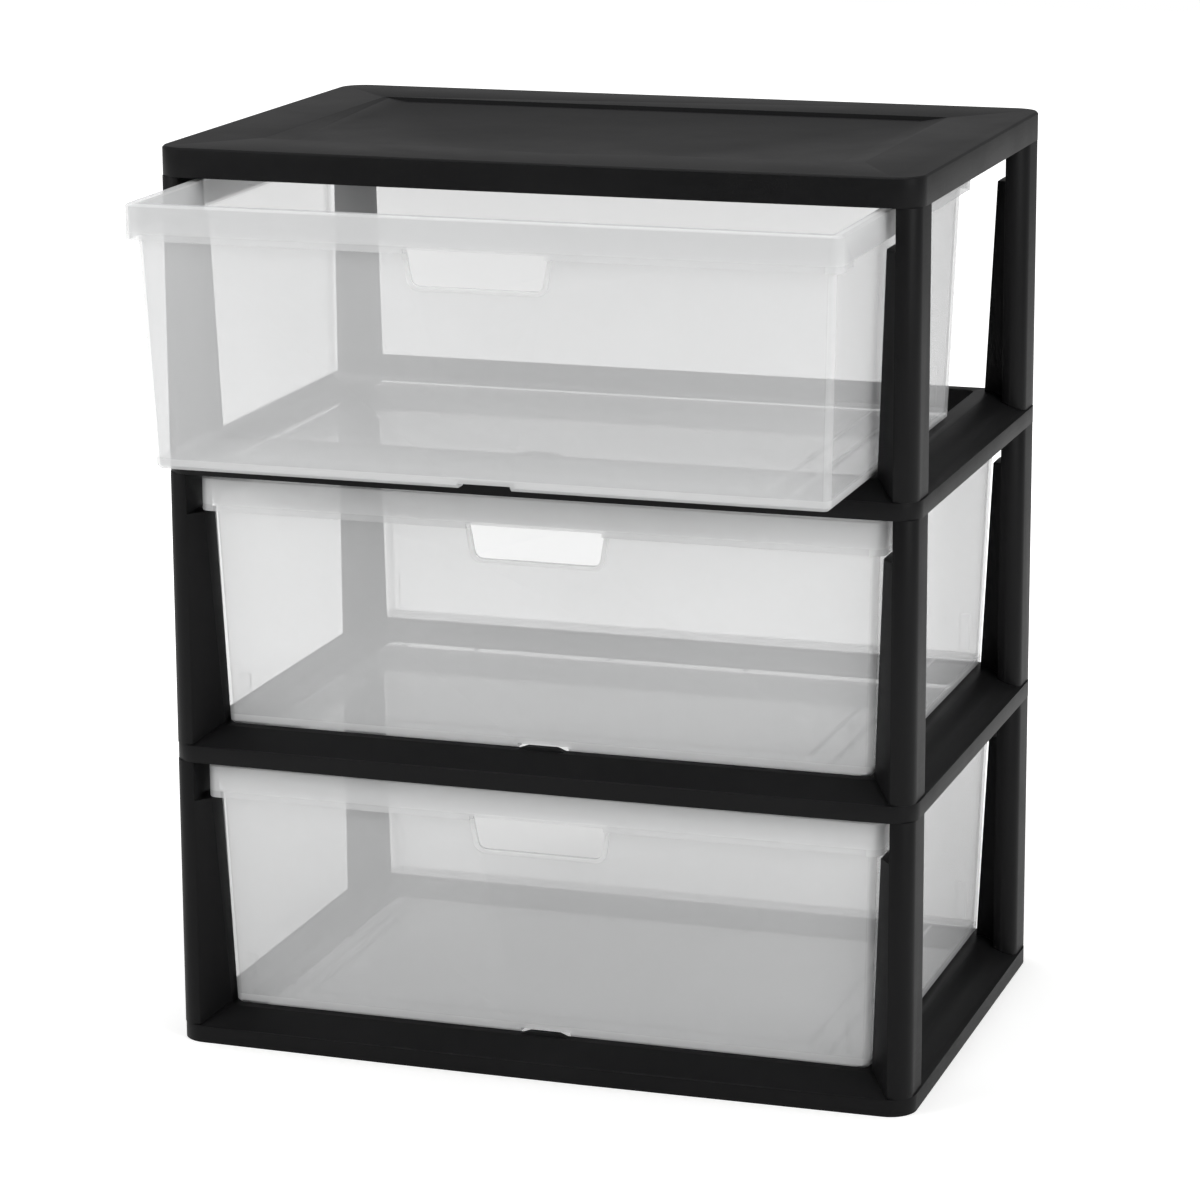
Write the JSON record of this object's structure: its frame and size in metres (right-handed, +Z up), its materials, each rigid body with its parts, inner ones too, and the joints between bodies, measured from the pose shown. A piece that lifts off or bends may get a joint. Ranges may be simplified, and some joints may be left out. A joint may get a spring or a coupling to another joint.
{
  "type": "drawer tower",
  "caption": "Free-standing plastic tower of open frames on corner legs, with translucent drawers that slide forward for storing craft supplies and small parts.",
  "frame": {"origin": "on the floor, in the middle of the tower's footprint, between the outer faces of the base frame's sides, front and back", "axes": "+Z up; -Y is the front, which the drawers slide out of; +X is to the right of a person facing the front"},
  "size_m": [0.556, 0.486, 0.663],
  "materials": {
    "black_plastic": "satin moulded polypropylene",
    "clear_plastic": "milky translucent polypropylene"
  },
  "bodies": {
    "tower": {"base_frame": "black_plastic", "shelf_lower": "black_plastic", "shelf_upper": "black_plastic", "leg_lower_front_left": "black_plastic", "leg_lower_front_right": "black_plastic", "leg_lower_back_left": "black_plastic", "leg_lower_back_right": "black_plastic", "leg_middle_front_left": "black_plastic", "leg_middle_front_right": "black_plastic", "leg_middle_back_left": "black_plastic", "leg_middle_back_right": "black_plastic", "leg_upper_front_left": "black_plastic", "leg_upper_front_right": "black_plastic", "leg_upper_back_left": "black_plastic", "leg_upper_back_right": "black_plastic", "top_panel": "black_plastic"},
    "drawer_bottom": {"drawer_bottom": "clear_plastic"},
    "drawer_middle": {"drawer_middle": "clear_plastic"},
    "drawer_top": {"drawer_top": "clear_plastic"}
  },
  "joints": [
    {"name": "bottom_slide", "type": "slide", "parent": "tower", "child": "drawer_bottom", "axis": [0, -1, 0], "range_m": [0, 0.245]},
    {"name": "middle_slide", "type": "slide", "parent": "tower", "child": "drawer_middle", "axis": [0, -1, 0], "range_m": [0, 0.245]},
    {"name": "top_slide", "type": "slide", "parent": "tower", "child": "drawer_top", "axis": [0, -1, 0], "range_m": [-0.118, 0.127]}
  ]
}
